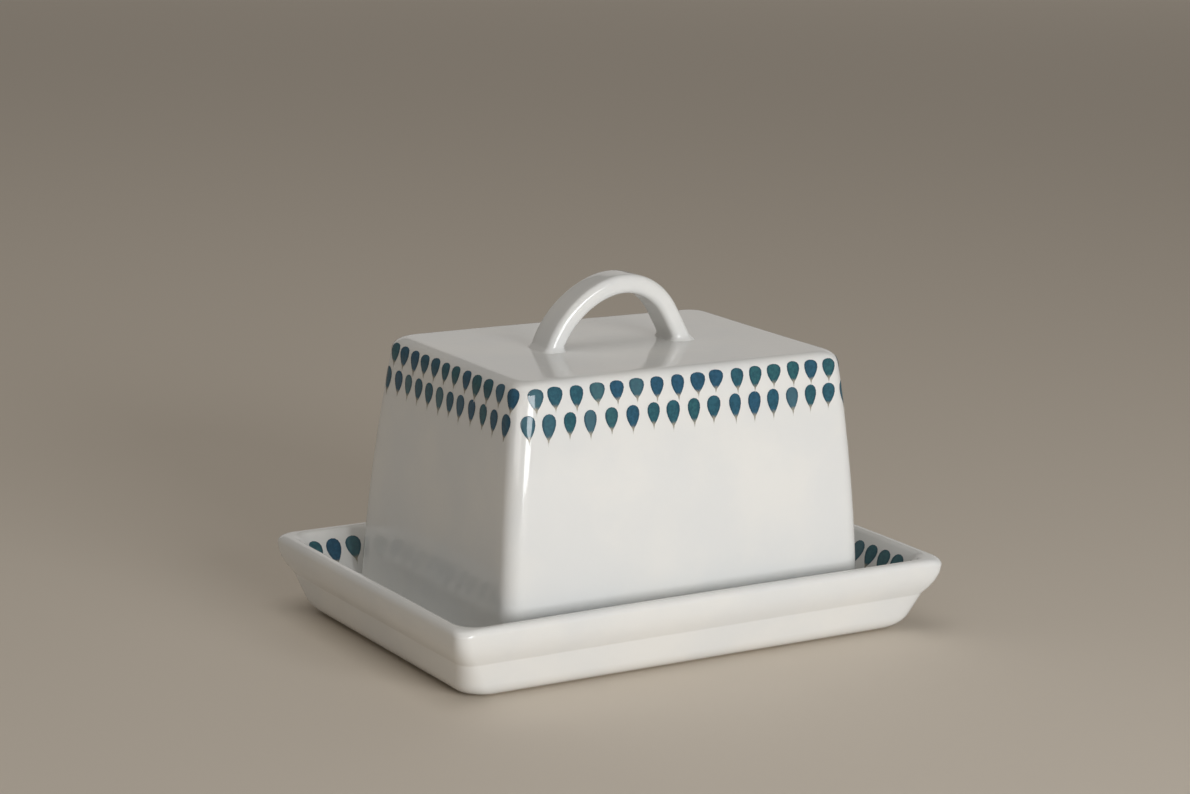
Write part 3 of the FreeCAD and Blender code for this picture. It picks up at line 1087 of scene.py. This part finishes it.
# %% Dish row
HEAD_BELOW_RIM = 2.6 * MM
SLOPE_LEAN = math.atan2(FLOOR_INSET - RIM_WALL, RIM_TOP - FLOOR_HEIGHT)
head_inset = RIM_WALL + math.tan(SLOPE_LEAN) * HEAD_BELOW_RIM
dish_row = paint_row(
    dish,
    row_length=2 * (RIM_HALF_X - head_inset),
    row_width=2 * (RIM_HALF_Y - head_inset),
    row_corner=7.6 * MM,
    row_height=RIM_TOP - HEAD_BELOW_RIM,
    dabs=76,
    start=0.0,
    dab_width=5.5 * MM,
    dab_length=9.4 * MM,
    lean=-SLOPE_LEAN,
    facing=-1.0,
    seed=15,
)
dish_drops = one_piece("dish_drops", [dish_row])

# %% [markdown]
# ## Studio
# One window, low and a little to the right of the camera, lights the long wall and draws the bright
# line down the near upright edge. The short wall on the left gets only what the room sends back,
# which is what shows the box's shape. A soft light overhead lifts the top and the handle, and a low
# pale board on the left fills the round edges. A pale wall far behind shines in the cover's top.

# %% Floor
FLOOR_COLOUR = (0.70, 0.63, 0.54, 1)
FLOOR_HALF = 4.0


def floor_material():
    """A plain pale surface."""
    material = bpy.data.materials.new("floor_paint")
    material.use_nodes = True
    shader = material.node_tree.nodes["Principled BSDF"]
    shader.inputs["Base Color"].default_value = FLOOR_COLOUR
    shader.inputs["Roughness"].default_value = 0.75
    return material


def make_floor():
    """A wide plain floor, level with the foot ring."""
    corners = [(x * FLOOR_HALF, y * FLOOR_HALF, 0) for x, y in ((-1, -1), (1, -1), (1, 1), (-1, 1))]
    data = bpy.data.meshes.new("floor")
    data.from_pydata(corners, [], [(0, 1, 2, 3)])
    data.materials.append(floor_material())
    floor = bpy.data.objects.new("floor", data)
    bpy.context.scene.collection.objects.link(floor)


make_floor()
print("floor, metres across:", 2 * FLOOR_HALF)

# %% [markdown]
# ## Lights
# An area light is a glowing sheet. A bigger sheet gives softer shadows and a broader reflection, so
# each one is given by where it stands, its size, its power and its colour. Directions are counted
# from the camera, because that is how a photographer walks a light round the object.

# %% Lights and room
ROOM_COLOUR = (0.155, 0.143, 0.128, 1)
DAYLIGHT = (0.98, 0.99, 1.0)
WARM_WHITE = (1.0, 0.98, 0.95)
# Each light is (name, azimuth, elevation, distance, width, height, watts, colour).
LIGHTS = (
    ("window", 36, 10, 1.0, 0.52, 0.42, 6.5, DAYLIGHT),
    ("pale_board", -22, 5, 1.2, 0.80, 0.12, 0.7, WARM_WHITE),
    ("ceiling", -60, 78, 1.5, 1.20, 1.20, 4.8, WARM_WHITE),
    ("pale_wall", 180, 14, 3.3, 4.40, 1.20, 7.0, WARM_WHITE),
)


def area_light(name, azimuth, elevation, distance, width, height, watts, colour):
    """A rectangular lamp that faces the object, with its azimuth counted rightwards."""
    lamp = bpy.data.lights.new(name, "AREA")
    lamp.shape = "RECTANGLE"
    lamp.size = width
    lamp.size_y = height
    lamp.energy = watts
    lamp.color = colour
    holder = bpy.data.objects.new(name, lamp)
    bpy.context.scene.collection.objects.link(holder)
    towards = direction(CAMERA_AZIMUTH + math.radians(azimuth), math.radians(elevation))
    middle = Vector((0, 0, cad_high.z / 2))
    holder.location = middle + towards * distance
    holder.rotation_mode = "QUATERNION"
    holder.rotation_quaternion = towards.to_track_quat("Z", "Y")


def light_room():
    """The dim light that comes from everywhere."""
    room = bpy.data.worlds.new("room")
    room.use_nodes = True
    room.node_tree.nodes["Background"].inputs["Color"].default_value = ROOM_COLOUR
    room.node_tree.nodes["Background"].inputs["Strength"].default_value = 1.0
    bpy.context.scene.world = room


for light in LIGHTS:
    area_light(*light)
light_room()
bpy.context.scene.view_settings.view_transform = "Standard"
print("lights:", [light[0] for light in LIGHTS])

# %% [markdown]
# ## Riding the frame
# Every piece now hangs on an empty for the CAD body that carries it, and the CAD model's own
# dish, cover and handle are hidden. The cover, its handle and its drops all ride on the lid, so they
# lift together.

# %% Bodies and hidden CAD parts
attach(dish, "dish")
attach(dish_drops, "dish")
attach(cover, "lid")
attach(strap, "lid")
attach(cover_drops, "lid")
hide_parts("dish")
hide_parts("lid_cover")
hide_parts("lid_handle")
